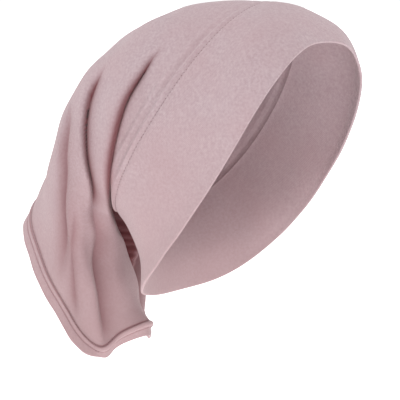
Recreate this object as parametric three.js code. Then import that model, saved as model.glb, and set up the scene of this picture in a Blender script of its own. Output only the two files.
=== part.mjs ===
// Underscarf cap: a jersey tube with a doubled band round the face and a hemmed open end that hangs
// behind the head. It is modelled in its worn form, in millimetres, +Z up. The wearer looks along -Y and
// the wearer's right side is -X. The origin is the middle of the head, level with the ears.
import * as THREE from "three";

// Where the cap's edges cross the middle of the head, from the origin. Reach is back from it.
const edgeForward = 83; // band's edge on the forehead
const edgeHeight = 97.5;
const edgeNapeReach = 53; // band's edge at the nape
const edgeNapeDrop = 84;
const seamForward = 37; // seam between band and bag, on the crown
const seamHeight = 123.5;
const seamNapeReach = 70.5; // the same seam at the nape
const seamNapeDrop = 32;
const tailReach = 158; // upper end of the bag, behind the head
const tailTopDrop = 26;
const tailLowReach = 86; // lower end of the bag, behind the neck
const tailLowDrop = 125;

const headHalfWidth = 74;
const tailHalfWidth = 40;

// Cloth: the band is doubled, the bag is a single layer and the hem is turned in twice.
const bandThickness = 2.0;
const bagThickness = 1.2;
const hemThickness = 2.2;
const hemWidth = 9;
const hemRidge = 0.7; // how much thicker the hem is along its stitched ridge
const hemEdge = 1.3; // thickness of the hem's outer edge
const foldedEdge = 1.0; // how far the band's folded edge is rounded out
const foldedEdgeThickness = 0.9; // where its rounding ends
const sewnGap = 0.3; // between two pieces where the real ones are sewn together

// Folds of the bag, as shares of this depth and width.
const foldDepth = 14;
const foldWidth = 16;

// Cross sections of the tube, each a loop round a line from its top to its bottom, in the middle of the
// head. The band's run from its edge to the seam and the bag's from the seam to its end. top and bottom
// are shares of the straight way there, and topOut and bottomOut shares of that way's length, square to
// it on its left. narrow goes from 0 at the head's width to 1 at the tail's. square fills out the
// corners, egg makes the top wider than the bottom, bow brings the sides forward and lift the bottom.
const sections = [
  {
    of: "band", top: 0.0, topOut: 0, bottom: 0, bottomOut: 0,
    narrow: -0.02, square: 0.16, egg: -0.02, bow: 0.19, lift: 0,
  },
  {
    of: "band", top: 0.47, topOut: 0.118, bottom: 0.5, bottomOut: 0.11,
    narrow: -0.02, square: 0.2, egg: 0.07, bow: 0.26, lift: 0,
  },
  {
    of: "band", top: 1.0, topOut: 0, bottom: 1, bottomOut: 0,
    narrow: 0, square: 0.06, egg: -0.08, bow: 0.07, lift: 0,
  },
  {
    of: "bag", top: 0.185, topOut: 0.135, bottom: 0.06, bottomOut: 0.11,
    narrow: 0, square: 0.13, egg: 0.02, bow: 0.06, lift: 0,
  },
  {
    of: "bag", top: 0.4, topOut: 0.19, bottom: 0.2, bottomOut: 0.16,
    narrow: 0.06, square: 0.12, egg: 0, bow: 0.02, lift: 0,
  },
  {
    of: "bag", top: 0.58, topOut: 0.168, bottom: 0.43, bottomOut: 0.157,
    narrow: 0.25, square: 0.14, egg: 0, bow: -0.03, lift: 0.05,
  },
  {
    of: "bag", top: 0.81, topOut: 0.068, bottom: 0.715, bottomOut: 0.09,
    narrow: 0.68, square: 0.16, egg: 0, bow: -0.08, lift: 0.2,
  },
  {
    of: "bag", top: 1.0, topOut: 0, bottom: 1, bottomOut: 0,
    narrow: 1, square: 0.28, egg: 0, bow: -0.14, lift: 0.42,
  },
];
const seamRow = 2;
const endRow = sections.length - 1;
const liftSpread = 0.35; // how wide the lifted stretch at the bottom is, in radians round the tube

// Folds of the bag, each along a bent line over the cloth. turn is in degrees round the tube from its
// top, down the wearer's right side to 180 at the bottom and on up the left side. row counts along the
// sections.
const folds = [
  { turn: [42, 66, 92, 116, 138], row: [2.26, 2.4, 2.44, 2.36, 2.36], depth: -0.4, width: 0.55 },
  { turn: [46, 70, 96, 122, 146, 164], row: [2.7, 2.9, 2.92, 2.85, 3.5, 5.4], depth: 0.55, width: 0.75 },
  { turn: [58, 80, 106, 130, 146, 152], row: [3.6, 3.76, 3.5, 3.4, 4.4, 7.0], depth: -1.0, width: 0.75 },
  { turn: [54, 78, 102, 118, 130], row: [4.1, 4.15, 4.2, 4.8, 6.4], depth: 0.4, width: 0.8 },
  { turn: [52, 76, 100, 112], row: [4.6, 4.6, 4.9, 6.0], depth: -0.5, width: 0.8 },
  { turn: [168, 172, 174], row: [3.4, 4.6, 6.2], depth: -0.3, width: 0.5 },
  { turn: [318, 292, 264, 240, 220], row: [2.26, 2.4, 2.44, 2.36, 2.36], depth: -0.4, width: 0.6 },
  { turn: [312, 286, 260, 234, 212, 196], row: [2.7, 2.95, 2.95, 2.9, 3.6, 5.4], depth: 0.45, width: 0.85 },
  { turn: [304, 278, 252, 228, 212, 208], row: [3.6, 3.8, 3.6, 3.4, 4.5, 7.0], depth: -0.85, width: 0.85 },
  { turn: [306, 284, 262, 250], row: [4.6, 4.5, 4.8, 6.0], depth: -0.45, width: 0.8 },
];
const foldSteps = 24; // how finely a fold's line is followed
const seamHold = 9; // how far from the seam the cloth is held to the band's curve
const foldTaper = 0.22; // share of a fold's line over which it starts and ends

const bandAround = 72;
const bandAlong = 6;
const bagAround = 96;
const bagAlong = 19;

const degrees = Math.PI / 180;

const jersey = { color: 0xc4a9ad, roughness: 0.92, metalness: 0 };
const bandCloth = new THREE.MeshStandardMaterial({ ...jersey, name: "band_jersey" });
const bagCloth = new THREE.MeshStandardMaterial({ ...jersey, name: "bag_jersey" });
const hemCloth = new THREE.MeshStandardMaterial({ ...jersey, name: "hem_jersey" });

// Points in the middle of the head, as (back, up), between which the sections' tops and bottoms run.
const edgeTop = new THREE.Vector2(-edgeForward, edgeHeight);
const edgeNape = new THREE.Vector2(edgeNapeReach, -edgeNapeDrop);
const seamTop = new THREE.Vector2(-seamForward, seamHeight);
const seamNape = new THREE.Vector2(seamNapeReach, -seamNapeDrop);
const tailTop = new THREE.Vector2(tailReach, -tailTopDrop);
const tailLow = new THREE.Vector2(tailLowReach, -tailLowDrop);
const ways = {
  band: { top: [edgeTop, seamTop], bottom: [edgeNape, seamNape] },
  bag: { top: [seamTop, tailTop], bottom: [seamNape, tailLow] },
};

// A point at a share of the way, moved out to its left by a share of its length.
function alongWay([from, to], share, out) {
  const way = to.clone().sub(from);
  const left = new THREE.Vector2(-way.y, way.x);
  return from.clone().addScaledVector(way, share).addScaledVector(left, out);
}

// A row's own sizes in millimetres: the middle and the half length of its line, and its half width.
const sized = sections.map((row) => {
  const top = alongWay(ways[row.of].top, row.top, row.topOut);
  const bottom = alongWay(ways[row.of].bottom, row.bottom, row.bottomOut);
  return {
    middleBack: (top.x + bottom.x) / 2,
    middleUp: (top.y + bottom.y) / 2,
    lineBack: (top.x - bottom.x) / 2,
    lineUp: (top.y - bottom.y) / 2,
    half: THREE.MathUtils.lerp(headHalfWidth, tailHalfWidth, row.narrow),
    square: row.square,
    egg: row.egg,
    bow: row.bow,
    lift: row.lift,
  };
});
const columns = Object.keys(sized[0]);

// The sizes at any place along the tube: a smooth cubic through the rows.
function sectionAt(place) {
  const at = THREE.MathUtils.clamp(place, 0, endRow);
  const i = Math.min(Math.floor(at), endRow - 1);
  const t = at - i;
  const near = [i - 1, i, i + 1, i + 2].map((k) => sized[THREE.MathUtils.clamp(k, 0, endRow)]);
  return Object.fromEntries(columns.map((name) => {
    const [p, q, r, s] = near.map((row) => row[name]);
    const leave = (r - p) / 2;
    const arrive = (s - q) / 2;
    const square = 3 * (r - q) - 2 * leave - arrive;
    const cube = 2 * (q - r) + leave + arrive;
    return [name, q + t * (leave + t * (square + t * cube))];
  }));
}

// A point of the tube without its folds: turn is in radians from the top, place counts along the rows.
function smoothPoint(turn, place) {
  const s = sectionAt(place);
  const cos = Math.cos(turn);
  const sin = Math.sin(turn);
  const lengthwise = cos * (1 + s.square * sin * sin);
  const across = sin * (1 + s.square * cos * cos) * (1 + s.egg * cos);
  const fromBottom = (THREE.MathUtils.euclideanModulo(turn, 2 * Math.PI) - Math.PI) / liftSpread;
  const forward = s.bow * sin * sin + s.lift * Math.exp(-fromBottom * fromBottom);
  return new THREE.Vector3(
    -s.half * across,
    s.middleBack + s.lineBack * lengthwise - s.lineUp * forward,
    s.middleUp + s.lineUp * lengthwise + s.lineBack * forward,
  );
}

// The lines of the folds, laid on the smooth tube.
const foldLines = folds.map((fold) => {
  const marks = fold.turn.map((turn, k) => new THREE.Vector2(turn * degrees, fold.row[k]));
  const route = new THREE.SplineCurve(marks);
  const points = route.getPoints(foldSteps).map(({ x, y }) => smoothPoint(x, y));
  return { ...fold, parts: points.slice(1).map((point, k) => new THREE.Line3(points[k], point)) };
});

// How far the folds lift the cloth at a point. Each has a round profile that fades at both its ends.
function foldLift(here) {
  return foldLines.reduce((sum, fold) => {
    const reached = fold.parts.map((part, k) => {
      const t = part.closestPointToPointParameter(here, true);
      return { share: (k + t) / foldSteps, distance: part.at(t, new THREE.Vector3()).distanceTo(here) };
    });
    const nearest = reached.reduce((a, b) => (b.distance < a.distance ? b : a));
    const fromEnd = Math.min(nearest.share, 1 - nearest.share);
    const fade = THREE.MathUtils.smoothstep(fromEnd, -0.001, foldTaper);
    const offset = nearest.distance / (fold.width * foldWidth);
    return sum + fold.depth * foldDepth * fade * Math.exp(-offset * offset);
  }, 0);
}

// Outward direction of a surface at a point, from two short steps over it.
function outward(surface, turn, place) {
  const step = 0.01;
  const round = surface(turn + step, place).sub(surface(turn - step, place));
  const [ahead, behind] = [Math.min(place + step, endRow), Math.max(place - step, 0)];
  const along = surface(turn, ahead).sub(surface(turn, behind));
  return along.cross(round).normalize();
}

function foldedPoint(turn, place) {
  const point = smoothPoint(turn, place);
  const fromSeam = point.distanceTo(smoothPoint(turn, seamRow));
  const lift = foldLift(point) * THREE.MathUtils.smoothstep(fromSeam, 0, seamHold);
  return point.addScaledVector(outward(smoothPoint, turn, place), lift);
}

// A closed wall round a tube. Each ring holds points of its middle surface with their outward
// directions, and walls holds the thickness at each ring.
function wallGeometry(rings, walls) {
  const around = rings[0].length;
  const all = rings.flat();
  const sides = [0.5, -0.5].map((side) => all.map(({ point, out }, k) => {
    return point.clone().addScaledVector(out, side * walls[Math.floor(k / around)]);
  }));
  const faces = [];
  const inner = all.length;
  for (let j = 0; j + 1 < rings.length; j += 1) {
    for (let i = 0; i < around; i += 1) {
      const next = (i + 1) % around;
      const [a, b] = [j * around + i, j * around + next];
      const [c, d] = [b + around, a + around];
      faces.push([a, d, c, b], [inner + a, inner + b, inner + c, inner + d]);
    }
  }
  const last = inner - around;
  for (let i = 0; i < around; i += 1) {
    const next = (i + 1) % around;
    const [e, f] = [last + i, last + next];
    faces.push([i, next, inner + next, inner + i], [e, inner + e, inner + f, f]);
  }
  const wall = new THREE.BufferGeometry().setFromPoints(sides.flat());
  wall.setIndex(faces.flatMap(([a, b, c, d]) => [a, b, c, a, c, d]));
  wall.computeVertexNormals();
  return wall;
}

// Rings of points from one place to another, with either end moved a little way along the cloth.
function ringsBetween(surface, from, to, around, along, startShift, endShift) {
  const step = 0.01;
  const moved = (turn, place, shift) => {
    if (!shift) return place;
    return place + (shift * step) / surface(turn, place - step).distanceTo(surface(turn, place));
  };
  const turns = Array.from({ length: around }, (_, i) => (i / around) * 2 * Math.PI);
  const ends = turns.map((turn) => [moved(turn, from, startShift), moved(turn, to, endShift)]);
  return Array.from({ length: along + 1 }, (_, j) => turns.map((turn, i) => {
    const place = THREE.MathUtils.lerp(...ends[i], j / along);
    return { point: surface(turn, place), out: outward(surface, turn, place) };
  }));
}

// Doubled jersey from the face to the seam, folded over at the face edge.
function frontBand() {
  const rings = ringsBetween(smoothPoint, 0, seamRow, bandAround, bandAlong, 0, -sewnGap / 2);
  const lip = rings[0].map(({ point, out }, i) => {
    const ahead = point.clone().sub(rings[1][i].point).normalize();
    return { point: point.clone().addScaledVector(ahead, foldedEdge), out };
  });
  const walls = [foldedEdgeThickness, ...rings.map(() => bandThickness)];
  return new THREE.Mesh(wallGeometry([lip, ...rings], walls), bandCloth);
}

// Single jersey from the seam over the crown and down behind the head.
const bagRings = ringsBetween(foldedPoint, seamRow, endRow, bagAround, bagAlong, sewnGap / 2, 0);

function crownBag() {
  return new THREE.Mesh(wallGeometry(bagRings, bagRings.map(() => bagThickness)), bagCloth);
}

// The hem's thickness at shares of its width, from the bag to its outer edge.
const hemProfile = [
  { across: 0, thickness: hemThickness },
  { across: 0.14, thickness: hemThickness },
  { across: 0.3, thickness: hemThickness + hemRidge },
  { across: 0.46, thickness: hemThickness },
  { across: 1, thickness: hemEdge },
];

// Turned and stitched hem round the open end. It carries the bag's last stretch straight on.
function backHem() {
  const last = bagRings[bagAlong];
  const before = bagRings[bagAlong - 1];
  const rings = hemProfile.map(({ across }) => last.map(({ point, out }, i) => {
    const onward = point.clone().sub(before[i].point).normalize();
    return { point: point.clone().addScaledVector(onward, sewnGap + across * hemWidth), out };
  }));
  return new THREE.Mesh(wallGeometry(rings, hemProfile.map(({ thickness }) => thickness)), hemCloth);
}

const cap = new THREE.Group();
const pieces = { front_band: frontBand(), crown_bag: crownBag(), back_hem: backHem() };
for (const [name, mesh] of Object.entries(pieces)) {
  mesh.name = name;
  cap.add(mesh);
}

export default cap;
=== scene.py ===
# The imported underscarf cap, dressed in dusty pink jersey. Metres, +Z up, open front towards -Y.
import math

import bpy
import numpy as np
from mathutils import Matrix, Vector


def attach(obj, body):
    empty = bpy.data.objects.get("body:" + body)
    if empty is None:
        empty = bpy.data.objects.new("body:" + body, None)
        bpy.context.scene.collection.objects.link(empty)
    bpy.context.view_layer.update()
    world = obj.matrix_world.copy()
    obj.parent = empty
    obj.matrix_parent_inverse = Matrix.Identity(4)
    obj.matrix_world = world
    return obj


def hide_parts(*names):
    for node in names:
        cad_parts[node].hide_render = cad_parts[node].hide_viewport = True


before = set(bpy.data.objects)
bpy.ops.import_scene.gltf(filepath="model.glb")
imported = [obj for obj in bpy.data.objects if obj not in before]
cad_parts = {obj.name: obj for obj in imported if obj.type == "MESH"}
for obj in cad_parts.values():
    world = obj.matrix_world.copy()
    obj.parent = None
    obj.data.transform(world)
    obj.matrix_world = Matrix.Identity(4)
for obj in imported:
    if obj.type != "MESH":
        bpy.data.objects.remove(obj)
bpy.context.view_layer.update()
print("frame loaded")

mm = 0.001
fullTurn = 2 * math.pi
nudge = 0.01  # a small step, in rows or radians, from which slopes are taken
justInside = 0.02  # of a row: how far from an edge its sizes are taken

# The worn tube in millimetres, with the sizes of the solids. Points in its middle plane are (back, up).
tube = {
    "edgeTop": (-83, 97.5),
    "edgeNape": (53, -84),
    "seamTop": (-37, 123.5),
    "seamNape": (70.5, -32),
    "tailTop": (158, -26),
    "tailLow": (86, -125),
    "headHalfWidth": 74,
    "tailHalfWidth": 40,
    "liftSpread": 0.35,
}

# A row for each cross section. The columns are its share of the way along the top line and how far out
# from the straight way it lies, the same two along the bottom line, how much it narrows towards the
# tail's half width, then how square, egg-shaped and bowed forward it is, and the lift of its bottom.
bandSections = [
    (0.0, 0, 0, 0, -0.02, 0.16, -0.02, 0.19, 0),
    (0.47, 0.118, 0.5, 0.11, -0.02, 0.2, 0.07, 0.26, 0),
    (1.0, 0, 1, 0, 0, 0.06, -0.08, 0.07, 0),
]
bagSections = [
    (0.185, 0.135, 0.06, 0.11, 0, 0.13, 0.02, 0.06, 0),
    (0.4, 0.19, 0.2, 0.16, 0.06, 0.12, 0, 0.02, 0),
    (0.58, 0.168, 0.43, 0.157, 0.25, 0.14, 0, -0.03, 0.05),
    (0.81, 0.068, 0.715, 0.09, 0.68, 0.16, 0, -0.08, 0.2),
    (1.0, 0, 1, 0, 1, 0.28, 0, -0.14, 0.42),
]
seamRow = len(bandSections) - 1
endRow = seamRow + len(bagSections)


# A point at a share of the straight way between two points, moved out to its left by a share of its length.
def alongWay(start, end, share, out):
    start, end = np.array(start, float), np.array(end, float)
    way = end - start
    return start + way * share + np.array([-way[1], way[0]]) * out


# One row of sizes for each section: middle (back, up), half line (back, up), half width, then its shape.
def sectionSizes():
    rows = []
    ways = [("edgeTop", "seamTop", "edgeNape", "seamNape")] * len(bandSections)
    ways += [("seamTop", "tailTop", "seamNape", "tailLow")] * len(bagSections)
    for (topFrom, topTo, lowFrom, lowTo), row in zip(ways, bandSections + bagSections):
        topShare, topOut, lowShare, lowOut, narrow, square, egg, bow, lift = row
        top = alongWay(tube[topFrom], tube[topTo], topShare, topOut)
        low = alongWay(tube[lowFrom], tube[lowTo], lowShare, lowOut)
        half = tube["headHalfWidth"] * (1 - narrow) + tube["tailHalfWidth"] * narrow
        rows.append([*(top + low) / 2, *(top - low) / 2, half, square, egg, bow, lift])
    return np.array(rows)


sizes = sectionSizes()


# Values between the rows of a table: each is a cubic through its rows, whose slope at a row is half the
# step from the row before to the row after.
def betweenRows(table, at):
    last = len(table) - 1
    i = np.minimum(at.astype(int), last - 1)
    t = (at - i)[..., None]
    p, q, r, s = (table[np.clip(i + k, 0, last)] for k in (-1, 0, 1, 2))
    leave, arrive = (r - p) / 2, (s - q) / 2
    return q + t * (leave + t * (3 * (r - q) - 2 * leave - arrive + t * (2 * (q - r) + leave + arrive)))


# A bell curve: e to the minus square, or another power, of the distance in widths.
def bell(distance, width, power=2):
    return np.exp(-((distance / width) ** power))


# A step from 0 at low to 1 at high that is level at both ends: three squares less two cubes of the share.
def smoothStep(value, low, high):
    t = np.clip((value - low) / (high - low), 0, 1)
    return t * t * (3 - 2 * t)


# Vectors brought to a length of 1.
def unit(vectors):
    return vectors / np.maximum(np.linalg.norm(vectors, axis=-1, keepdims=True), 1e-9)


# The tube without folds: a squared loop round the section's line. turn is an angle from the top, down the
# side at -X; the loop's sides are bowed forward and its bottom is lifted by a bell curve.
def tubePoint(turn, place):
    turn, place = np.broadcast_arrays(turn, place)
    columns = np.moveaxis(betweenRows(sizes, np.clip(place, 0, endRow)), -1, 0)
    middleBack, middleUp, lineBack, lineUp, half, square, egg, bow, lift = columns
    cos, sin = np.cos(turn), np.sin(turn)
    lengthwise = cos * (1 + square * sin**2)
    across = sin * (1 + square * cos**2) * (1 + egg * cos)
    forward = bow * sin**2 + lift * bell(np.mod(turn, fullTurn) - math.pi, tube["liftSpread"])
    return np.stack(
        [
            -half * across,
            middleBack + lineBack * lengthwise - lineUp * forward,
            middleUp + lineUp * lengthwise + lineBack * forward,
        ],
        -1,
    )


# Outward direction of the smooth tube: the step along it crossed with the step round it.
def tubeOutward(turn, place):
    place = np.clip(place, 0, endRow)
    before, after = np.maximum(place - nudge, 0), np.minimum(place + nudge, endRow)
    roundStep = tubePoint(turn + nudge, place) - tubePoint(turn - nudge, place)
    return unit(np.cross(tubePoint(turn, after) - tubePoint(turn, before), roundStep))


# Share of a row for each millimetre along the cloth at a place.
def rowsPerMillimetre(turn, place):
    return nudge / np.linalg.norm(tubePoint(turn, place) - tubePoint(turn, place - nudge), axis=-1)


# Outward direction of a grid of points with its rows along the tube and its columns round it.
def gridOutward(points):
    roundStep = np.roll(points, -1, 1) - np.roll(points, 1, 1)
    return unit(np.cross(np.gradient(points, axis=0), roundStep))


# Unevenness round the tube: a sine wave times a cosine wave, each with its count of waves and its start.
def roundWaves(turn, sineCount, sineStart, cosineCount, cosineStart):
    return np.sin(turn * sineCount + sineStart) * np.cos(turn * cosineCount + cosineStart)


# Slow unevenness of the cloth: a sum of sine waves in space, each with its own direction, length and start.
def unevenness(points, length, count, seed):
    chance = np.random.default_rng(seed)
    ways = unit(chance.normal(size=(count, 3)))
    shortest, longest = 0.7, 1.5  # shares of the length
    lengths = length * chance.uniform(shortest, longest, count)
    starts = chance.uniform(0, fullTurn, count)
    waves = np.sin(points @ (ways / lengths[:, None]).T * fullTurn + starts)
    return waves.sum(-1) / math.sqrt(count)


# Where points lie from a fold's line: signed distance to its side, share of its length, and the side
# there. The side is the outward direction crossed with the line's own, so on the side at -X it is towards
# the front. steps is the number of straight pieces that stand for the line.
def fromLine(points, marks, steps=44):
    marks = np.array(marks, float)
    route = betweenRows(marks, np.linspace(0, len(marks) - 1, steps + 1))
    turn, place = np.radians(route[:, 0]), route[:, 1]
    line = tubePoint(turn, place)
    side = unit(np.cross(tubeOutward(turn, place), unit(np.gradient(line, axis=0))))
    start, way = line[:-1], np.diff(line, axis=0)
    reach = points[:, None, :] - start
    t = np.clip((reach * way).sum(-1) / (way**2).sum(-1), 0, 1)
    gap = reach - t[..., None] * way
    nearest = (gap**2).sum(-1).argmin(1)
    every = np.arange(len(points))
    t = t[every, nearest][:, None]
    sideHere = unit(side[nearest] * (1 - t) + side[nearest + 1] * t)
    gap = gap[every, nearest]
    distance = np.linalg.norm(gap, axis=1)
    signed = distance * np.sign((gap * sideHere).sum(1))
    return signed, (nearest + t[:, 0]) / steps, sideHere


# What a fold has unless it says otherwise. fade is the share of its length over which it starts and ends,
# pull a move along its line, paintedShade how much shade is painted on its cloth, and shade the power of
# that.
plainFold = {"fade": (0.25, 0.25), "lean": 0, "lap": 1, "foot": 0, "pull": 0, "paintedShade": 0, "shade": 1.5}
creaseReach = 3  # in widths: the wide bell curve that trims a crease's long tails
lineStart = -0.001  # a share just before the line, so that the shortest fade has a length


# Moves points by folds. A fold lifts the cloth by a bell curve across its line, with its own width on
# either side, and leans it sideways by the same curve to the power of its lap, so that a steep side ends
# under a lip. A crease has a narrow foot instead of the bell's round one.
def foldedBy(points, outward, folds):
    flat, out = points.reshape(-1, 3), outward.reshape(-1, 3)
    shift = np.zeros_like(flat)
    paintedShade = np.zeros(len(flat))
    for given in folds:
        fold = {**plainFold, **given}
        signed, share, side = fromLine(flat, fold["marks"])
        width = np.where(signed < 0, fold["back"], fold["front"])
        if fold["foot"]:
            past = np.sqrt(signed**2 + fold["foot"] ** 2) - fold["foot"]
            across = np.exp(-past / width) * np.exp(-((signed / width / creaseReach) ** 2))
        else:
            across = bell(signed, width)
        starts, ends = fold["fade"]
        fade = smoothStep(share, lineStart, starts) * smoothStep(1 - share, lineStart, ends)
        amount = (across * fade)[:, None]
        shift += out * fold["lift"] * amount + side * fold["lean"] * amount ** fold["lap"]
        shift += np.cross(side, out) * fold["pull"] * amount
        # painted shade: the fold's cloth is darkened in colour by the same curve, for the shade that falls
        # in it
        shaded = fold["paintedShade"] * amount[:, 0] ** fold["shade"]
        paintedShade = np.maximum(paintedShade, np.minimum(shaded, 1))
    return shift.reshape(points.shape), paintedShade.reshape(points.shape[:-1])


# Puts closed loops of points into a mesh: each row of the grid is a loop, and the last row joins the first.
# layout is each column's place on the flat cloth in metres, and each point's way along it in millimetres.
def clothMesh(name, loops, layout, paintedShade):
    rows, around = loops.shape[:2]
    j, i = np.meshgrid(np.arange(rows), np.arange(around), indexing="ij")
    j, i = j.ravel(), i.ravel()
    nextJ, nextI = (j + 1) % rows, (i + 1) % around
    faces = np.stack([j * around + i, nextJ * around + i, nextJ * around + nextI, j * around + nextI], 1)
    mesh = bpy.data.meshes.new(name)
    mesh.vertices.add(rows * around)
    mesh.vertices.foreach_set("co", (loops * mm).astype(np.float32).ravel())
    mesh.loops.add(faces.size)
    mesh.loops.foreach_set("vertex_index", faces.astype(np.int32).ravel())
    mesh.polygons.add(len(faces))
    mesh.polygons.foreach_set("loop_start", np.arange(0, faces.size, 4, dtype=np.int32))
    mesh.update(calc_edges=True)
    mesh.polygons.foreach_set("use_smooth", np.ones(len(faces), bool))
    width, length = layout
    wide = width[np.stack([i, i, i + 1, i + 1], 1)]
    long = np.stack([length[j, i], length[nextJ, i], length[nextJ, nextI], length[j, nextI]], 1) * mm
    cloth = mesh.uv_layers.new(name="cloth")
    cloth.data.foreach_set("uv", np.stack([wide, long], -1).astype(np.float32).ravel())
    # the painted shade mask, which the material turns into darker colour
    mask = mesh.attributes.new("paintedShade", "FLOAT", "POINT")
    mask.data.foreach_set("value", paintedShade.astype(np.float32).ravel())
    mesh.validate()
    piece = bpy.data.objects.new(name, mesh)
    bpy.context.scene.collection.objects.link(piece)
    print(name, len(mesh.vertices), "vertices")
    return piece


rimAngles = np.radians([25, 50, 70, 84])  # where the loops of a rounded end lie


# A closed wall round the tube, from its middle surface and its half thickness on either side. Each end is
# rounded off: the loops beyond it move on by a sine of the rounding's angle while the wall thins by its
# cosine. The inner side has fewer rows, and no painted shade.
def roundedWall(name, piece, middle, outHalf, inHalf, ends, turn, paintedShade):
    outward = gridOutward(middle)
    steps = np.linalg.norm(np.diff(middle, axis=0), axis=-1)
    lengths = np.vstack([np.zeros(len(turn)), np.cumsum(steps, 0)])

    def rim(row, way, radius):
        moved = [middle[row] + way * radius * math.sin(angle) for angle in rimAngles]
        outSize, inSize = (outward[row] * half[row][:, None] for half in (outHalf, inHalf))
        outer = [m + outSize * math.cos(angle) for m, angle in zip(moved, rimAngles)]
        inner = [m - inSize * math.cos(angle) for m, angle in zip(moved, rimAngles)]
        return outer, [middle[row] + way * radius], inner[::-1]

    outer = middle + outward * outHalf[..., None]
    inner = middle - outward * inHalf[..., None]
    kept = np.unique(np.r_[0 : len(inner) : piece["innerEvery"], len(inner) - 1])[::-1]
    startOut, startTip, startIn = rim(0, unit(middle[0] - middle[1]), ends[0])
    endOut, endTip, endIn = rim(-1, unit(middle[-1] - middle[-2]), ends[1])
    loops = [*outer, *endOut, *endTip, *endIn, *inner[kept]]
    loops += [*startIn[::-1], *startTip, *startOut[::-1]]
    rimCount = 2 * len(rimAngles) + 1
    long = np.array([*lengths, *[lengths[-1]] * rimCount, *lengths[kept], *[lengths[0]] * rimCount])
    unshaded = np.zeros((len(kept) + rimCount, len(turn)))
    shaded = np.array([*paintedShade, *[paintedShade[-1]] * rimCount, *unshaded])
    width = np.r_[turn, turn[0] + fullTurn] / fullTurn * piece["layoutWidth"]
    return clothMesh(name, np.array(loops), (width, long), shaded)


# The turned-in end of a wall at a seam: it falls by a quarter round over the last stretch.
def seamFall(fromSeam, piece):
    distance = np.maximum(fromSeam - piece["seamGap"], 0)
    near = np.clip(1 - distance / piece["seamRoll"], 0, 1)
    return piece["seamDip"] * (1 - np.sqrt(1 - near**2))


# The band: doubled jersey, stretched smooth and folded over at the open front.
band = {
    "around": 400,
    "along": 54,
    "innerEvery": 4,
    "halfThickness": 1.0,
    "foldRadius": 1.0,
    "seamRadius": 0.35,
    "seamGap": 0.15,
    "seamRoll": 2.6,  # how far from the seam the cloth starts to turn in
    "seamDip": 0.75,
    "rollRows": np.array([0.0, 0.25, 0.6, 1.0, 1.5, 2.0]) / 2.6,  # shares of the roll where its rows lie
    "edgeWander": 0.5,
    "edgeWaves": (3, 0.7, 5, -1.1),
    "slack": 0.45,
    "slackWaves": (46, 9, 5),  # length, count, seed
    "slackFrom": 10,  # distance from the seam over which the slack grows
    "layoutWidth": 0.53,
}


# The band's middle surface is the smooth tube from the front edge to the seam, lifted by slow unevenness.
def makeBand():
    turn = np.arange(band["around"]) / band["around"] * fullTurn
    perSeam = rowsPerMillimetre(turn, np.full_like(turn, seamRow))
    perEdge = rowsPerMillimetre(turn, np.full_like(turn, justInside))
    first = band["edgeWander"] * perEdge * (1 + roundWaves(turn, *band["edgeWaves"]))
    last = seamRow - (band["seamGap"] + band["seamRoll"]) * perSeam
    share = np.linspace(0, 1, band["along"] + 1)[:, None]
    inRoll = (band["rollRows"] * band["seamRoll"])[::-1, None]
    place = np.concatenate([first + (last - first) * share, seamRow - (band["seamGap"] + inRoll) * perSeam])
    turns = np.broadcast_to(turn, place.shape)
    smooth = tubePoint(turns, place)
    fromSeam = np.linalg.norm(smooth - tubePoint(turn, seamRow), axis=-1)
    calm = smoothStep(fromSeam, 0, band["slackFrom"])
    lift = band["slack"] * unevenness(smooth, *band["slackWaves"]) * calm - seamFall(fromSeam, band)
    middle = smooth + tubeOutward(turns, place) * lift[..., None]
    half = np.full(place.shape, band["halfThickness"])
    ends = (band["foldRadius"], band["seamRadius"])
    return roundedWall("front_band_cloth", band, middle, half, half, ends, turn, np.zeros(place.shape))


# The bag: one layer of jersey, gathered behind the band. Angles are degrees round the tube.
bag = {
    "around": 376,
    "along": 156,
    "closer": 0.6,  # how much denser the rows are at the seam
    "crowding": 0.45,  # how much denser the columns are where they are crowded
    "crowdedAt": 140,
    "innerEvery": 2,
    "halfThickness": 0.4,
    "innerSlack": 1.4,  # how much further in the inner side runs under the deepest folds
    "innerSlackRows": (0.02, 0.2),  # rows before the hem between which that starts
    "endRadius": 0.3,
    # ridges beside the seam: height, distance from it, width
    "ridges": [(1.0, 3.7, 1.5), (-0.5, 7.2, 2.0), (0.6, 11.0, 2.4), (-0.3, 15.5, 2.6)],
    "ridgeLeast": 0.4,  # share of that height which is there all round
    "gatherAt": 78,  # where the ridges are strongest
    "gatherSpread": 34,
    "wrinkle": 1.8,  # level wrinkles in the nook under the seam's low end
    "wrinkleLength": 5.0,
    "wrinkleShades": (0.35, 0.5),  # the shade from which they start, and how much more makes them full
    "wrinkleAt": 186,
    "wrinkleSpread": 22,
    "endPlace": 6.63,  # row where the hem starts
    "cornerPlace": 0.35,  # how many rows later it starts at the lowest corner
    "cornerAt": 142,
    "cornerSpread": (24, 15),  # before and after it
    # painted shade on the bag where it meets the hem, fading over hemShadeRows
    "hemShade": 0.6,
    "hemShadeRows": 0.035,
    "seamGap": 0.15,
    "seamRoll": 2.8,
    "seamDip": 0.6,
    "rollRows": np.array([0.0, 0.25, 0.6, 1.0, 1.5, 2.1]) / 2.8,
    "hold": 2.0,  # within this of the seam the cloth keeps the seam's curve
    "slack": 0.7,
    "slackWaves": (38, 10, 11),
    "slackFrom": 12,
    "layoutWidth": 0.53,
}

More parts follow.
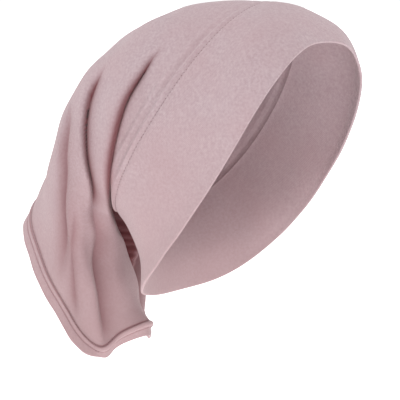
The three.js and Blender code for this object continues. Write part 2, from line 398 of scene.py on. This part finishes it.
# Folds of the bag. marks are (degrees round the tube, place along it); sizes are millimetres.
folds = [
    # the long roll beside the seam
    {"marks": [(46, 2.62), (53, 2.78), (62, 2.86), (76, 2.92), (92, 2.9), (104, 2.78), (117, 2.58),
               (130, 2.46), (141, 2.48), (152, 2.85), (163, 3.55), (173, 4.25), (183, 5.05), (192, 5.8)],
     "lift": 6.0, "back": 12, "front": 6, "lean": 2.0, "fade": (0.3, 0.2)},
    # the crease cut into it
    {"marks": [(52, 2.6), (59, 2.69), (66, 2.74), (78, 2.82), (93, 2.79), (104, 2.7), (117, 2.54),
               (130, 2.44), (142, 2.44), (152, 2.52), (162, 2.8), (170, 3.2)],
     "lift": -8.0, "back": 1.4, "front": 2.2, "foot": 0.5, "fade": (0.35, 0.15), "paintedShade": 2.4,
     "shade": 1.0},
    # the lip that laps over the crease
    {"marks": [(54, 2.7), (60, 2.77), (66, 2.81), (78, 2.89), (93, 2.86), (104, 2.77), (117, 2.62),
               (130, 2.53), (142, 2.55), (150, 2.7)],
     "lift": 2.0, "back": 5, "front": 1.7, "lean": 2.6, "fade": (0.45, 0.5)},
    # the deep valley behind the roll, sharp above
    {"marks": [(56, 3.54), (60, 3.7), (66, 3.85), (80, 3.87), (93, 3.73), (104, 3.56), (118, 3.32),
               (128, 3.25), (138, 3.36), (147, 3.72)],
     "lift": -4.5, "back": 1.2, "front": 8, "foot": 0.5, "fade": (0.25, 0.35), "paintedShade": 1.5},
    # and soft from there down to the hem
    {"marks": [(112, 3.42), (124, 3.3), (136, 3.36), (147, 3.74), (153.5, 4.38), (155, 5.1), (152, 6.0),
               (150, 7.0)],
     "lift": -4.4, "back": 2.6, "front": 7.5, "foot": 1.2, "fade": (0.45, 0.12), "paintedShade": 0.55,
     "shade": 1.1},
    # the ridge behind that valley
    {"marks": [(54, 3.7), (66, 3.92), (80, 3.94), (93, 3.8), (104, 3.66), (116, 3.46), (126, 3.44),
               (136, 3.62)],
     "lift": 2.0, "back": 7, "front": 2.0, "lean": 2.6, "fade": (0.25, 0.35)},
    # a short soft valley, the ridge below it, and the soft valley further back
    {"marks": [(112, 3.9), (122, 4.1), (130, 4.6), (128, 5.3), (124, 6.0), (123, 6.7)],
     "lift": -3.0, "back": 4, "front": 4, "foot": 1.5, "fade": (0.4, 0.15), "paintedShade": 0.5},
    {"marks": [(104, 3.95), (118, 3.95), (130, 4.2), (138, 4.8), (143, 5.4), (145, 6.1), (145, 6.9)],
     "lift": 3.5, "back": 8, "front": 6, "fade": (0.3, 0.15)},
    {"marks": [(50, 4.64), (66, 4.56), (81, 4.64), (93, 4.68), (102, 4.84), (108, 5.2), (108, 5.8),
               (105, 6.5)],
     "lift": -5.0, "back": 5, "front": 7, "foot": 2.0, "fade": (0.3, 0.25), "paintedShade": 0.65, "shade": 0.8},
    # the smooth swell between the valley and the roll, low down
    {"marks": [(140, 3.0), (150, 3.5), (159, 4.1), (166, 4.8), (170, 5.5), (170, 6.3)],
     "lift": 6.0, "back": 8, "front": 12, "fade": (0.2, 0.3)},
    # the nook between the roll and the band's low end
    {"marks": [(148, 2.3), (163, 2.5), (173, 3.1), (181, 3.8), (187, 4.4), (195, 5.1), (203, 5.8)],
     "lift": -16.0, "back": 4, "front": 14, "fade": (0.15, 0.3), "paintedShade": 1.8, "shade": 0.7},
    # the pinch where the valley meets the hem
    {"marks": [(151, 6.0), (150.5, 6.5), (150, 7.0)],
     "lift": 3.0, "back": 8, "front": 8, "pull": 2.0, "fade": (0.9, 0.001)},
    # the same run of folds on the side at +X
    {"marks": [(316, 2.6), (304, 2.85), (290, 2.97), (274, 2.96), (258, 2.84), (242, 2.66), (228, 2.6),
               (214, 3.1), (204, 4.4), (198, 5.4)],
     "lift": 6.5, "back": 4, "front": 11, "lean": -5.0, "lap": 1.5, "fade": (0.3, 0.3)},
    {"marks": [(310, 2.5), (296, 2.68), (280, 2.72), (264, 2.62), (248, 2.42), (236, 2.3)],
     "lift": -3.5, "back": 3, "front": 2, "foot": 0.8, "fade": (0.35, 0.3), "paintedShade": 0.8},
    {"marks": [(304, 3.6), (278, 3.75), (254, 3.5), (230, 3.3), (214, 4.2), (208, 5.4), (208, 7.0)],
     "lift": -8.5, "back": 8, "front": 6, "foot": 2.0, "fade": (0.3, 0.1), "paintedShade": 0.6},
    {"marks": [(306, 4.5), (284, 4.45), (262, 4.7), (250, 5.4), (248, 6.0)],
     "lift": -5.0, "back": 7, "front": 8, "foot": 2.0, "fade": (0.35, 0.3), "paintedShade": 0.4},
]


# The place where the bag ends and the hem starts, by turn: later by a lopsided bell curve at the lowest
# corner.
def bagEnd(turns):
    past = np.degrees(turns) - bag["cornerAt"]
    return bag["endPlace"] + bag["cornerPlace"] * bell(past, np.where(past < 0, *bag["cornerSpread"]))


# Turns of the bag's columns: closer together, by a sine, where the folds are sharpest.
def bagTurns():
    even = np.arange(bag["around"]) / bag["around"] * fullTurn
    return even - bag["crowding"] * np.sin(even - math.radians(bag["crowdedAt"]))


# The bag's middle surface at any turn and place, with its painted shade: the smooth tube moved by its
# folds, by slow unevenness, by low ridges beside the seam and by level sine wrinkles where the nook is
# deep.
def bagSurface(turns, place):
    degrees = np.degrees(turns)
    smooth = tubePoint(turns, place)
    out = tubeOutward(turns, place)
    fromSeam = np.linalg.norm(smooth - tubePoint(turns, seamRow), axis=-1)
    shift, paintedShade = foldedBy(smooth, out, folds)
    settled = smoothStep(fromSeam, 0, bag["hold"])
    lift = bag["slack"] * unevenness(smooth, *bag["slackWaves"]) * smoothStep(fromSeam, 0, bag["slackFrom"])
    gathered = bag["ridgeLeast"] + bell(degrees - bag["gatherAt"], bag["gatherSpread"])
    for height, at, width in bag["ridges"]:
        lift += height * gathered * bell(fromSeam - at, width)
    shadeFrom, shadeMore = bag["wrinkleShades"]
    inNook = bell(degrees - bag["wrinkleAt"], bag["wrinkleSpread"])
    wrinkled = np.clip(paintedShade - shadeFrom, 0, shadeMore) * inNook
    lift += bag["wrinkle"] * wrinkled * np.sin(smooth[..., 2] / bag["wrinkleLength"] * fullTurn)
    lift -= seamFall(fromSeam, bag)
    # painted shade: the bag darkened just before the hem starts, beside the groove at the joint
    atHem = bag["hemShade"] * bell(np.maximum(bagEnd(turns) - place, 0), bag["hemShadeRows"])
    middle = smooth + shift * settled[..., None] + out * lift[..., None]
    return middle, np.maximum(paintedShade * settled, atHem)


# The bag's wall, and its middle surface for the hem to start from.
def makeBag():
    turn = bagTurns()
    perSeam = rowsPerMillimetre(turn, np.full_like(turn, seamRow + justInside))
    first = seamRow + (bag["seamGap"] + bag["seamRoll"]) * perSeam
    share = np.linspace(0, 1, bag["along"] + 1)[:, None]
    share = share * (1 - bag["closer"] * (1 - share))
    inRoll = (bag["rollRows"] * bag["seamRoll"])[:, None]
    place = first + (bagEnd(turn) - first) * share
    place = np.concatenate([seamRow + (bag["seamGap"] + inRoll) * perSeam, place])
    turns = np.broadcast_to(turn, place.shape)
    middle, paintedShade = bagSurface(turns, place)
    half = np.full(place.shape, bag["halfThickness"])
    inHalf = half + bag["innerSlack"] * paintedShade * smoothStep(bagEnd(turns) - place, *bag["innerSlackRows"])
    ends = (bag["endRadius"], bag["endRadius"])
    return roundedWall("crown_bag_cloth", bag, middle, half, inHalf, ends, turn, paintedShade), middle


# The hem: the bag's end carried on, thicker, with a piped ridge beside the bag and a stitched line. It
# flares out at the sides, and turns under at the lowest corner and at the bottom of the open end.
hem = {
    "width": 11.5,
    "gap": 0.3,
    "along": 46,
    "innerEvery": 6,
    "halfThickness": 1.05,
    "thinFrom": 0.5,  # share of the width from which the wall thins
    "thinBy": 0.25,
    "jointRadius": 0.35,
    "edgeRadius": 0.8,
    "jointShade": 0.95,
    "jointWidth": 0.7,
    "pipe": 0.6,
    "pipeAt": 1.9,
    "pipeWidth": 1.3,
    "line": 0.5,  # depth of the stitched line
    "lineAt": 4.6,
    "lineWidth": 0.6,
    "lineShade": 0.3,
    "smoothWaves": 24,  # waves round the ring that its directions keep
    "rowsBack": 4,  # rows of the bag that its direction is taken over
    "flare": 8.0,
    "flareMiddle": 0.6,  # share of the flare at the sides, and how much less it is at the top
    "flareTopLess": 0.55,
    "flareCurve": 1.3,
    # where it turns under: angle, degrees round the tube, spread
    "curls": [(38, 150, 15), (46, 182, 26)],
    "curlReach": 0.6,  # share of the width over which that comes in
    "noFlareFrom": 60,  # degrees of turning under at which the flare is gone
    "ripple": 0.35,
    "rippleWaves": (17, 0.4, 5, 1.9),
    "layoutWidth": 0.3,
}


# A ring of vectors without its fast changes: its waves up to a highest one.
def roundSmoothed(ring, waves):
    spectrum = np.fft.rfft(ring, axis=0)
    spectrum[waves + 1 :] = 0
    return np.fft.irfft(spectrum, len(ring), axis=0)


# The hem's middle surface: from the bag's last ring on along the cloth, flaring by a power of the
# distance, with small ripples that grow by its square. Where it turns under, the way on is the cosine of
# the angle, and the way in is its sine.
def hemSurface(bagMiddle, distance):
    ahead = unit(roundSmoothed(bagMiddle[-1] - bagMiddle[-hem["rowsBack"]], hem["smoothWaves"]))
    out = unit(roundSmoothed(gridOutward(bagMiddle)[-1], hem["smoothWaves"]))
    turn = bagTurns()
    distance = distance[:, None]
    share = distance / hem["width"]
    curl = sum(angle * bell(np.degrees(turn) - at, spread) for angle, at, spread in hem["curls"])
    curl = np.radians(curl)
    straight = np.clip(1 - curl / math.radians(hem["noFlareFrom"]), 0, 1)
    flare = hem["flare"] * (hem["flareMiddle"] - hem["flareTopLess"] * np.cos(turn)) * straight
    lift = flare * share ** hem["flareCurve"]
    lift += hem["ripple"] * share**2 * roundWaves(turn, *hem["rippleWaves"])
    turned = smoothStep(share, 0, hem["curlReach"])
    under = distance * np.sin(curl) * turned
    onward = distance * (1 - (1 - np.cos(curl)) * turned)
    return bagMiddle[-1] + ahead * onward[..., None] + out * (lift - under)[..., None], out


# The hem's half thickness outwards and inwards: a flat-topped bell for the pipe, a narrow one cut in for
# the stitched line, and both sides thinner towards the free edge.
def hemHalves(distance):
    outer = hem["halfThickness"] + hem["pipe"] * bell(distance - hem["pipeAt"], hem["pipeWidth"], 4)
    outer = outer - hem["line"] * bell(distance - hem["lineAt"], hem["lineWidth"])
    thinned = 1 - hem["thinBy"] * smoothStep(distance, hem["width"] * hem["thinFrom"], hem["width"])
    return outer * thinned, hem["halfThickness"] * thinned


# The hem's wall, with painted shade from bell curves in the groove at the joint and in the stitched line.
def makeHem(bagMiddle):
    distance = np.linspace(hem["jointRadius"], hem["width"] - hem["edgeRadius"], hem["along"] + 1)
    middle, _ = hemSurface(bagMiddle, distance + hem["gap"])
    shade = hem["jointShade"] * bell(distance, hem["jointWidth"])
    shade += hem["lineShade"] * bell(distance - hem["lineAt"], hem["lineWidth"])
    outHalf, inHalf, paintedShade = (
        np.broadcast_to(values[:, None], middle.shape[:2]) for values in (*hemHalves(distance), shade)
    )
    ends = (hem["jointRadius"], hem["edgeRadius"])
    return roundedWall("back_hem_cloth", hem, middle, outHalf, inHalf, ends, bagTurns(), paintedShade)


endTaper = 0.45  # how much thinner a thread is at its ends
endSink = 0.9  # how many radii its ends lie under the cloth's surface


# Stitches: short threads, each a round tube of few faces along an arc from one needle hole to the next.
# The arc rises by half a sine, and the thread is thinnest at its ends.
def makeStitches(name, starts, ends, outward, stitch):
    rings, sides, radius = stitch["rings"], stitch["sides"], stitch["radius"]
    along = np.linspace(0, 1, rings)
    arch = np.sin(along * math.pi)
    path = starts[:, None] + (ends - starts)[:, None] * along[:, None]
    path = path + outward[:, None] * (stitch["rise"] * arch - radius * endSink)[:, None]
    way = unit(np.gradient(path, axis=1))
    sideways = unit(np.cross(way, outward[:, None]))
    lifted = np.cross(sideways, way)
    angle = np.arange(sides) / sides * fullTurn
    slim = radius * (1 - endTaper + endTaper * arch)[:, None]
    circle = sideways[:, :, None] * np.cos(angle)[:, None] + lifted[:, :, None] * np.sin(angle)[:, None]
    points = path[:, :, None] + circle * slim[..., None]
    first = (np.arange(len(starts)) * rings * sides)[:, None, None]
    ring = np.arange(rings - 1)[:, None] * sides
    side = np.arange(sides)
    nextSide = (side + 1) % sides
    quads = np.stack([ring + side, ring + nextSide, ring + sides + nextSide, ring + sides + side], -1)
    quads = (first[..., None] + quads).reshape(-1, 4)
    caps = np.stack([side[::-1], side + (rings - 1) * sides])
    caps = (first + caps).reshape(-1, sides)
    mesh = bpy.data.meshes.new(name)
    mesh.from_pydata((points * mm).reshape(-1, 3).tolist(), [], quads.tolist() + caps.tolist())
    mesh.polygons.foreach_set("use_smooth", np.ones(len(mesh.polygons), bool))
    piece = bpy.data.objects.new(name, mesh)
    bpy.context.scene.collection.objects.link(piece)
    print(name, len(starts), "stitches")
    return piece


# Evenly spaced places on a closed ring of points, as turns.
def evenTurns(ring, turn, spacing):
    closed = np.vstack([ring, ring[:1]])
    length = np.r_[0, np.cumsum(np.linalg.norm(np.diff(closed, axis=0), axis=1))]
    count = int(round(length[-1] / spacing))
    at = (np.arange(count) + 0.5) / count * length[-1]
    return np.interp(at, length, np.r_[turn, turn[0] + fullTurn])


seamStitch = {
    "spacing": 2.7,
    "length": 1.5,
    "slant": 0.25,
    "depth": 0.4,
    "radius": 0.26,
    "rise": 0.16,
    "rings": 5,
    "sides": 6,
    "samples": 720,  # points at which the seam is measured
}


# Threads across the seam's groove, from the band to the bag.
def makeSeamStitches():
    known = np.arange(seamStitch["samples"]) / seamStitch["samples"] * fullTurn
    turn = evenTurns(tubePoint(known, seamRow), known, seamStitch["spacing"])
    out = tubeOutward(turn, seamRow)
    across = unit(tubePoint(turn, seamRow + nudge) - tubePoint(turn, seamRow - nudge))
    roundWay = unit(np.cross(out, across))
    reach = across * seamStitch["length"] / 2 + roundWay * seamStitch["slant"]
    base = tubePoint(turn, seamRow) + out * seamStitch["depth"]
    return makeStitches("seam_stitches", base - reach, base + reach, out, seamStitch)


hemStitch = {
    "spacing": 2.4,
    "from": 4.8,  # distances from the joint between which the thread runs
    "to": 7.4,
    "radius": 0.26,
    "rise": 0.2,
    "rings": 4,
    "sides": 5,
}


# A zigzag of thread on the hem, between the stitched line and a second one nearer the edge.
def makeHemStitches(bagMiddle):
    distance = np.array([hemStitch["from"], hemStitch["to"]])
    middle, out = hemSurface(bagMiddle, distance + hem["gap"])
    outHalf, _ = hemHalves(distance)
    first = bagTurns()
    turn = evenTurns(middle[0], first, hemStitch["spacing"])
    known = np.r_[first, first[0] + fullTurn]

    def ringAt(values, where):
        closed = np.vstack([values, values[:1]])
        return np.stack([np.interp(where, known, closed[:, k]) for k in range(3)], 1)

    half = (turn[1] - turn[0]) / 2
    later = first[0] + np.mod(turn + half - first[0], fullTurn)
    low = ringAt(middle[0] + out * outHalf[0], turn)
    high = ringAt(middle[1] + out * outHalf[1], later)
    starts = np.vstack([low, high])
    ends = np.vstack([high, np.roll(low, -1, 0)])
    outLow = unit(ringAt(out, turn))
    return makeStitches("hem_stitches", starts, ends, np.vstack([outLow, outLow]), hemStitch)


print("making the band")
bandPiece = makeBand()
print("making the bag")
bagPiece, bagMiddle = makeBag()
print("making the hem and the stitches")
hemPiece = makeHem(bagMiddle)
seamThread = makeSeamStitches()
hemThread = makeHemStitches(bagMiddle)


# Joins one socket to another.
def wire(tree, fromSocket, toSocket):
    tree.links.new(fromSocket, toSocket)


# Fills an input with a number or a colour, or wires a socket to it.
def fill(tree, slotIn, value):
    if isinstance(value, (int, float)):
        slotIn.default_value = value
    elif isinstance(value, tuple):
        slotIn.default_value = (*value, 1)
    else:
        wire(tree, value, slotIn)


# A Math node with its inputs filled; gives its result.
def maths(tree, operation, *inputs):
    node = tree.nodes.new("ShaderNodeMath")
    node.operation = operation
    for slotIn, value in zip(node.inputs, inputs):
        fill(tree, slotIn, value)
    return node.outputs[0]


# One colour laid over another by a share, or multiplied into it.
def blendColour(tree, kind, share, under, over):
    node = tree.nodes.new("ShaderNodeMix")
    node.data_type = "RGBA"
    node.blend_type = kind
    for slotIn, value in zip((node.inputs[0], node.inputs[6], node.inputs[7]), (share, under, over)):
        fill(tree, slotIn, value)
    return node.outputs[2]


# A shader group with its named inputs (name, kind, value) and outputs (name, kind).
def newGroup(name, inputs, outputs):
    group = bpy.data.node_groups.new(name, "ShaderNodeTree")
    for label, kind, value in inputs:
        made = group.interface.new_socket(label, in_out="INPUT", socket_type=kind)
        if value is not None:
            made.default_value = value
    for label, kind in outputs:
        group.interface.new_socket(label, in_out="OUTPUT", socket_type=kind)
    return group, group.nodes.new("NodeGroupInput").outputs, group.nodes.new("NodeGroupOutput").inputs


# A shader group placed in a material, with the values that it is given there.
def placeGroup(tree, group, values):
    node = tree.nodes.new("ShaderNodeGroup")
    node.node_tree = group
    for label, value in values.items():
        fill(tree, node.inputs[label], value)
    return node.outputs


number, vector = "NodeSocketFloat", "NodeSocketVector"


# Plain knit: columns of stitches, each a V whose arms rise towards the gaps between columns. Height is 1
# on the yarn and 0 in the gaps. Columns and rows are counted to the metre.
def knitGroup():
    inputs = [
        ("Cloth", vector, None),
        ("Columns", number, 1300.0),
        ("Rows", number, 1600.0),
        ("Slant", number, 0.5),
        ("Gap Sharpness", number, 3.0),
    ]
    group, given, result = newGroup("jersey knit", inputs, [("Height", number), ("Gaps", number)])

    # how far a share is from the middle: 0 there and 1 at both ends
    def fromMiddle(share):
        return maths(group, "MULTIPLY", maths(group, "ABSOLUTE", maths(group, "SUBTRACT", share, 0.5)), 2.0)

    parts = group.nodes.new("ShaderNodeSeparateXYZ")
    wire(group, given["Cloth"], parts.inputs[0])
    column = maths(group, "FRACT", maths(group, "MULTIPLY", parts.outputs[0], given["Columns"]))
    besideColumn = fromMiddle(column)
    slanted = maths(group, "MULTIPLY", besideColumn, given["Slant"])
    row = maths(group, "ADD", maths(group, "MULTIPLY", parts.outputs[1], given["Rows"]), slanted)
    stitch = maths(group, "SUBTRACT", 1.0, fromMiddle(maths(group, "FRACT", row)))
    yarn = maths(group, "SUBTRACT", 1.0, maths(group, "POWER", besideColumn, given["Gap Sharpness"]))
    height = maths(group, "MULTIPLY", yarn, maths(group, "MULTIPLY_ADD", stitch, 0.5, 0.5))
    wire(group, height, result["Height"])
    wire(group, maths(group, "SUBTRACT", 1.0, height), result["Gaps"])
    return group


# Mottling of the yarn: fine specks and slower clouds from 0 to 1, and the finest fibres. Each is a noise.
def mottleGroup():
    inputs = [
        ("Place", vector, None),
        ("Speck Scale", number, 520.0),
        ("Cloud Scale", number, 34.0),
        ("Fibre Scale", number, 2400.0),
    ]
    outputs = [("Specks", number), ("Clouds", number), ("Fibres", number)]
    group, given, result = newGroup("yarn mottle", inputs, outputs)

    def noise(scale, detail):
        node = group.nodes.new("ShaderNodeTexNoise")
        node.inputs["Detail"].default_value = detail
        wire(group, given["Place"], node.inputs["Vector"])
        wire(group, given[scale], node.inputs["Scale"])
        return node

    for label, scale, detail, rough in (
        ("Specks", "Speck Scale", 3.0, 0.6),
        ("Clouds", "Cloud Scale", 2.0, 0.5),
    ):
        uneven = noise(scale, detail)
        uneven.inputs["Roughness"].default_value = rough
        spread = group.nodes.new("ShaderNodeMapRange")
        spread.inputs["From Min"].default_value = 0.3
        spread.inputs["From Max"].default_value = 0.7
        wire(group, uneven.outputs["Fac"], spread.inputs["Value"])
        wire(group, spread.outputs[0], result[label])
    wire(group, noise("Fibre Scale", 2.0).outputs["Fac"], result["Fibres"])
    return group


knit = knitGroup()
mottle = mottleGroup()

jersey = {
    "yarn": (0.395, 0.295, 0.315),
    "paleYarn": (0.53, 0.435, 0.455),  # in the specks
    "paleShare": 0.7,
    "rosyYarn": (0.42, 0.275, 0.29),  # in the clouds
    "rosyShare": 0.3,
    # painted shade: rosier towards the bottom, standing in for the lower cloth getting less light from
    # above
    "paintedLowShade": (0.42, 0.275, 0.28),  # towards the bottom
    "lowShare": 0.7,
    "lowAtOrigin": 0.35,  # how much of it there is at the origin's height
    "lowPerMetre": 6.0,  # and how much more for each metre down
    "gapShade": (0.72, 0.62, 0.64),
    "gapShare": 0.45,
    # painted shade: the deep red laid on where the paintedShade mask is, in folds and grooves
    "paintedShade": (0.16, 0.03, 0.035),
    "paintedShadeShare": 0.9,
    "roughness": 0.84,
    "speckRoughness": 0.08,
    "shine": 0.25,
    "fuzz": 0.25,
    "fuzzRoughness": 0.45,
    "fuzzTint": (1.0, 0.93, 0.94),
    "bump": 0.6,
    "fibreHeight": 0.6,  # beside the knit's height of 1
    "knitDepth": 0.00022,
}


# Matte jersey: yarn mottled with two more tints, darker in the knit's gaps, with painted shade low down and
# in folds.
def jerseyMaterial(name, look):
    material = bpy.data.materials.new(name)
    material.use_nodes = True
    tree = material.node_tree
    shader = tree.nodes["Principled BSDF"]
    coords = tree.nodes.new("ShaderNodeTexCoord")
    cloth = tree.nodes.new("ShaderNodeUVMap")
    cloth.uv_map = "cloth"
    parts = tree.nodes.new("ShaderNodeSeparateXYZ")
    wire(tree, coords.outputs["Object"], parts.inputs[0])
    # the painted shade mask from the folds and the hem's grooves
    paintedShade = tree.nodes.new("ShaderNodeAttribute")
    paintedShade.attribute_name = "paintedShade"
    specks = placeGroup(tree, mottle, {"Place": coords.outputs["Object"]})
    stitches = placeGroup(tree, knit, {"Cloth": cloth.outputs[0]})
    low = maths(tree, "MULTIPLY_ADD", parts.outputs[2], -look["lowPerMetre"], look["lowAtOrigin"])
    low.node.use_clamp = True
    base = look["yarn"]
    for kind, amount, share, tint in (
        ("MIX", specks["Specks"], "paleShare", "paleYarn"),
        ("MIX", specks["Clouds"], "rosyShare", "rosyYarn"),
        # painted shade: rosier towards the bottom
        ("MIX", low, "lowShare", "paintedLowShade"),
        ("MULTIPLY", stitches["Gaps"], "gapShare", "gapShade"),
        # painted shade: deep red where the cloth lies deep in folds and grooves
        ("MIX", paintedShade.outputs["Fac"], "paintedShadeShare", "paintedShade"),
    ):
        base = blendColour(tree, kind, maths(tree, "MULTIPLY", amount, look[share]), base, look[tint])
    wire(tree, base, shader.inputs["Base Color"])
    rough = maths(tree, "MULTIPLY_ADD", specks["Specks"], look["speckRoughness"], look["roughness"])
    wire(tree, rough, shader.inputs["Roughness"])
    shader.inputs["Specular IOR Level"].default_value = look["shine"]
    shader.inputs["Sheen Weight"].default_value = look["fuzz"]
    shader.inputs["Sheen Roughness"].default_value = look["fuzzRoughness"]
    shader.inputs["Sheen Tint"].default_value = (*look["fuzzTint"], 1)
    bump = tree.nodes.new("ShaderNodeBump")
    bump.inputs["Strength"].default_value = look["bump"]
    bump.inputs["Distance"].default_value = look["knitDepth"]
    height = maths(tree, "MULTIPLY_ADD", specks["Fibres"], look["fibreHeight"], stitches["Height"])
    wire(tree, height, bump.inputs["Height"])
    wire(tree, bump.outputs[0], shader.inputs["Normal"])
    return material


thread = {
    "hemTint": (0.24, 0.13, 0.15),
    "seamTint": (0.16, 0.07, 0.08),
    "speckScale": 2600.0,
    "speckShade": 0.82,
    "roughness": 0.5,
    "fibreRoughness": 0.2,
}


# Twisted thread: one tint, darker by a share in its specks, and a little rougher where it has fibres.
def threadMaterial(name, tint):
    material = bpy.data.materials.new(name)
    material.use_nodes = True
    tree = material.node_tree
    shader = tree.nodes["Principled BSDF"]
    coords = tree.nodes.new("ShaderNodeTexCoord")
    values = {"Place": coords.outputs["Object"], "Speck Scale": thread["speckScale"]}
    specks = placeGroup(tree, mottle, values)
    base = blendColour(tree, "MIX", specks["Specks"], tint, tuple(thread["speckShade"] * c for c in tint))
    wire(tree, base, shader.inputs["Base Color"])
    rough = maths(tree, "MULTIPLY_ADD", specks["Fibres"], thread["fibreRoughness"], thread["roughness"])
    wire(tree, rough, shader.inputs["Roughness"])
    return material


print("painting the jersey and the thread")
for piece, node, slotName in (
    (bandPiece, "front_band", "band_jersey"),
    (bagPiece, "crown_bag", "bag_jersey"),
    (hemPiece, "back_hem", "hem_jersey"),
):
    piece.data.materials.append(jerseyMaterial(slotName.replace("_", " "), jersey))
    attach(piece, "root")
    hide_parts(node)
for piece, materialName, tint, slotName in (
    (seamThread, "seam thread", "seamTint", "band_jersey"),
    (hemThread, "hem thread", "hemTint", "hem_jersey"),
):
    piece.data.materials.append(threadMaterial(materialName, thread[tint]))
    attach(piece, "root")

# The camera stands where the photograph was taken from.
view = {
    "azimuth": -55,
    "elevation": 5,
    "distance": 1.65,
    "metresPerPixel": 0.0007,
    "pictureSize": 400,  # pixels each way
    "originAt": (226, 179.5),  # pixel of the part's origin
    "sensor": 36,  # millimetres
    "farthest": 200,
}


# The camera's ways right, up and back, from its azimuth and elevation.
def cameraAxes():
    azimuth, elevation = math.radians(view["azimuth"]), math.radians(view["elevation"])
    rightWay = Vector((math.cos(azimuth), math.sin(azimuth), 0))
    level = math.cos(elevation)
    backWay = Vector((math.sin(azimuth) * level, -math.cos(azimuth) * level, math.sin(elevation)))
    return rightWay, backWay.cross(rightWay), backWay


rightWay, upWay, backWay = cameraAxes()
fromLeft, fromTop = view["originAt"]
halfPicture = view["pictureSize"] / 2
aim = (rightWay * (halfPicture - fromLeft) - upWay * (halfPicture - fromTop)) * view["metresPerPixel"]
camera = bpy.data.objects.new("camera", bpy.data.cameras.new("camera"))
camera.data.sensor_width = view["sensor"]
camera.data.lens = view["sensor"] * view["distance"] / view["metresPerPixel"] / view["pictureSize"]
camera.data.clip_end = view["farthest"]
camera.matrix_world = Matrix.Translation(aim + backWay * view["distance"]) @ Matrix(
    (rightWay, upWay, backWay)
).transposed().to_4x4()
bpy.context.scene.collection.objects.link(camera)
bpy.context.scene.camera = camera

studio = {
    "floorDrop": -0.30,
    "floorHalf": 60.0,
    "floorColour": (0.93, 0.925, 0.92),
    "floorGlow": 0.75,
    "floorRoughness": 0.9,
    "floorShine": 0.1,
    "world": 0.92,
    "backdrop": 1.05,  # how bright the world is where the camera sees it
    "lights": [
        # name, watts, size, then metres towards the camera, up and to the right of the aim
        ("key", 1.2, 0.4, 1.2, 0.8, -0.1),
        ("top", 9.0, 1.0, 0.1, 1.6, -0.3),
        ("fill", 1.5, 0.6, 1.4, -0.35, 0.1),
    ],
}


# A wide white floor that glows a little.
def makeFloor():
    half, drop = studio["floorHalf"], studio["floorDrop"]
    mesh = bpy.data.meshes.new("floor")
    corners = [(x * half, y * half, drop) for x, y in ((-1, -1), (1, -1), (1, 1), (-1, 1))]
    mesh.from_pydata(corners, [], [(0, 1, 2, 3)])
    floor = bpy.data.objects.new("floor", mesh)
    bpy.context.scene.collection.objects.link(floor)
    material = bpy.data.materials.new("floor")
    material.use_nodes = True
    shader = material.node_tree.nodes["Principled BSDF"]
    shader.inputs["Base Color"].default_value = (*studio["floorColour"], 1)
    shader.inputs["Roughness"].default_value = studio["floorRoughness"]
    shader.inputs["Specular IOR Level"].default_value = studio["floorShine"]
    shader.inputs["Emission Color"].default_value = (1, 1, 1, 1)
    shader.inputs["Emission Strength"].default_value = studio["floorGlow"]
    mesh.materials.append(material)


# A white world, brighter where the camera sees it, and three soft lamps that look at the aim.
def makeLights():
    world = bpy.data.worlds.new("studio")
    world.use_nodes = True
    tree = world.node_tree
    background = tree.nodes["Background"]
    background.inputs["Color"].default_value = (1, 1, 1, 1)
    path = tree.nodes.new("ShaderNodeLightPath")
    seenMore = studio["backdrop"] - studio["world"]
    strength = maths(tree, "MULTIPLY_ADD", path.outputs["Is Camera Ray"], seenMore, studio["world"])
    wire(tree, strength, background.inputs["Strength"])
    bpy.context.scene.world = world
    for name, watts, across, towards, up, rightward in studio["lights"]:
        lamp = bpy.data.objects.new(name, bpy.data.lights.new(name, "AREA"))
        lamp.data.energy = watts
        lamp.data.size = across
        place = aim + backWay * towards + upWay * up + rightWay * rightward
        facing = (place - aim).to_track_quat("Z", "Y").to_matrix().to_4x4()
        lamp.matrix_world = Matrix.Translation(place) @ facing
        bpy.context.scene.collection.objects.link(lamp)


print("setting up the studio")
makeFloor()
makeLights()
bpy.context.scene.view_settings.view_transform = "Standard"
bpy.context.scene.view_settings.look = "None"
